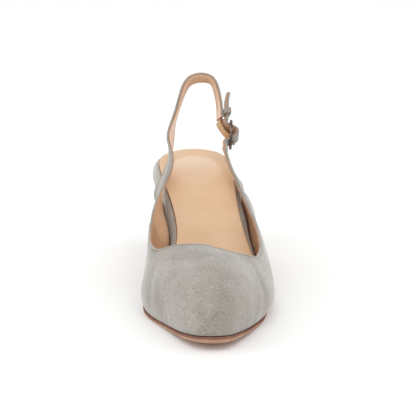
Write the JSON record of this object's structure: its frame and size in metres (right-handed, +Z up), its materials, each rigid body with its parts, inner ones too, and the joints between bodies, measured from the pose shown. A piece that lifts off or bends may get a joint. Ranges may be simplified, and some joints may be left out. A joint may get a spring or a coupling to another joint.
{
  "type": "dirndl slingback pump",
  "caption": "Low-cut left pump of grey suede with a pointed outer throat, a buckled sling strap and a suede-covered block heel.",
  "frame": {"origin": "middle of the flat tread under the forefoot, on the floor", "axes": "+Y from the toe to the heel, +Z up, +X towards the shoe's outer side, which carries the buckle"},
  "size_m": [0.0882, 0.248, 0.1276],
  "materials": {
    "suede": "grey suede with a short mottled nap, lined with tan leather",
    "lining_leather": "smooth tan lining leather, slightly glossy",
    "sole_leather": "brown sole leather, its cut edge stained and rough along the top",
    "rubber": "dark brown matt top lift rubber",
    "loop_leather": "plain tan strap leather with a streaky burnished face",
    "buckle_metal": "dark antique bronze plating, worn on the edges"
  },
  "bodies": {
    "root": {"outsole": "sole_leather", "footbed": "suede", "insole": "lining_leather", "upper": "suede", "sling_strap": "suede", "heel": "suede", "top_lift": "rubber", "buckle_frame": "buckle_metal", "buckle_loop": "loop_leather", "buckle_prong": "buckle_metal", "keeper": "suede"}
  },
  "joints": []
}
